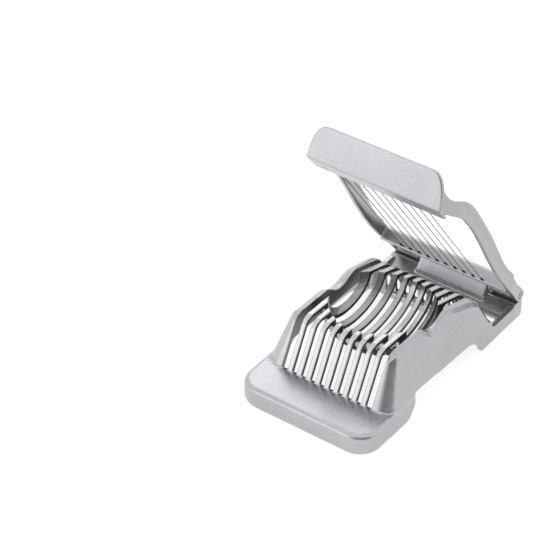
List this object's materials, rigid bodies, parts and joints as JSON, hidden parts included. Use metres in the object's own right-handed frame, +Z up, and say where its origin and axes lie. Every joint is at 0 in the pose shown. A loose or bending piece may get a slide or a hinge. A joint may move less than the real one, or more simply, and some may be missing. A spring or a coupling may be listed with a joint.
{
  "type": "egg slicer",
  "caption": "Cast aluminium egg slicer: ribbed base with an egg-shaped cradle and a hinged frame strung with parallel cutting wires.",
  "frame": {"origin": "centre of the footprint on the table, with the lid standing open", "axes": "+X to the right seen from the grip end, +Y towards the hinge, +Z up"},
  "size_m": [0.083, 0.146, 0.1335],
  "materials": {
    "cast_aluminium": "satin as-cast, lightly ground on top edges",
    "steel": "drawn bright",
    "dark_steel": "darkened"
  },
  "bodies": {
    "base": {"base_casting": "cast_aluminium", "hinge_pin": "steel"},
    "lid": {"lid_frame": "cast_aluminium", "cutting_wire_01": "steel", "cutting_wire_02": "steel", "cutting_wire_03": "steel", "cutting_wire_04": "steel", "cutting_wire_05": "steel", "cutting_wire_06": "steel", "cutting_wire_07": "steel", "cutting_wire_08": "steel", "cutting_wire_09": "steel", "cutting_wire_10": "steel", "wire_bead_01": "dark_steel", "wire_bead_02": "dark_steel", "wire_bead_03": "dark_steel", "wire_bead_04": "dark_steel", "wire_bead_05": "dark_steel", "wire_bead_06": "dark_steel", "wire_bead_07": "dark_steel", "wire_bead_08": "dark_steel", "wire_bead_09": "dark_steel", "wire_bead_10": "dark_steel", "wire_clamp_bar": "steel", "clamp_screw_left": "steel", "clamp_screw_right": "steel"}
  },
  "joints": [
    {"name": "lid_hinge", "type": "hinge", "parent": "base", "child": "lid", "pos_m": [0, 0.0694, 0.0135], "axis": [1, 0, 0], "range_deg": [-45, 50]}
  ]
}
